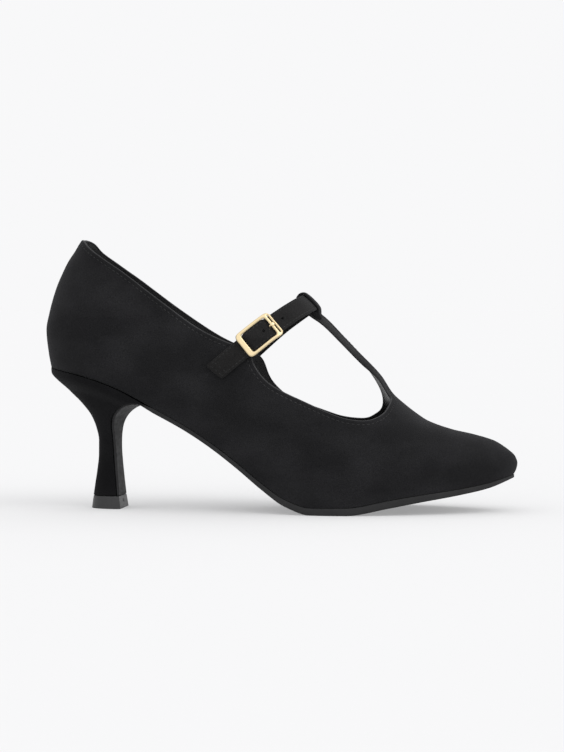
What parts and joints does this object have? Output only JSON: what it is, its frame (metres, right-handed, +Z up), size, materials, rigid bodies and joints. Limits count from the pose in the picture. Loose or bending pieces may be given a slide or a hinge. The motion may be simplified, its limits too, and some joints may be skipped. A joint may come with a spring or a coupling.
{
  "type": "T-strap pump",
  "caption": "Black suede T-strap pump with a flared mid heel, open cut-outs beside the T-bar and a buckled ankle strap.",
  "frame": {"origin": "on the floor, below the middle of the box round the shoe", "axes": "+X from heel to toe, +Y to the inner side of this right shoe, +Z up"},
  "size_m": [0.2374, 0.0824, 0.1354],
  "materials": {
    "suede": "black suede with a soft nap",
    "strap_suede": "black suede strip, stitched",
    "lining": "smooth black lining leather",
    "sole_leather": "smooth dark grey, satin",
    "heel_rubber": "dark grey, satin",
    "pale_gold": "polished pale gold plating"
  },
  "bodies": {
    "root": {"upper": "suede", "insole": "lining", "outsole": "sole_leather", "heel": "suede", "top_piece": "heel_rubber", "strap": "strap_suede", "buckle_frame": "pale_gold", "buckle_prong": "pale_gold"}
  },
  "joints": []
}
